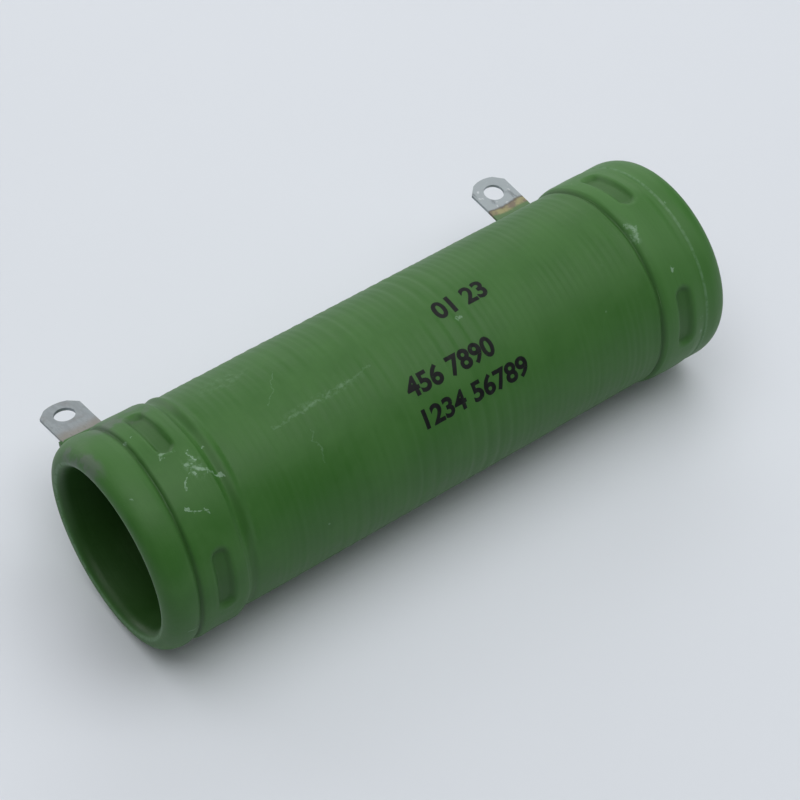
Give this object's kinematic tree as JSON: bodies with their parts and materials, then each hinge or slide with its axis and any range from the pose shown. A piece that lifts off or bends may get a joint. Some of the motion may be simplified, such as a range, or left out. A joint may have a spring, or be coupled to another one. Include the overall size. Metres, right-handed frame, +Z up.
{
  "type": "tubular wirewound power resistor",
  "caption": "Tubular wirewound power resistor: hollow ceramic tube under green vitreous enamel, with slotted terminal bands folded into solder lugs.",
  "frame": {"origin": "middle of the tube's length, on the axis of its bore", "axes": "+X along the bore, +Y towards the side that the solder lugs point to, +Z up with the lugs nearly level"},
  "size_m": [0.0906, 0.0431, 0.03],
  "materials": {
    "ceramic": "bare fired ceramic, matt",
    "resistance_wire": "drawn resistance alloy wire",
    "terminal_metal": "dull rolled strip, heat tinted at the root",
    "enamel": "satin green vitreous enamel with soft winding ripples"
  },
  "bodies": {
    "root": {"ceramic_tube": "ceramic", "resistance_winding": "resistance_wire", "left_terminal": "terminal_metal", "right_terminal": "terminal_metal", "enamel_coat": "enamel"}
  },
  "joints": []
}
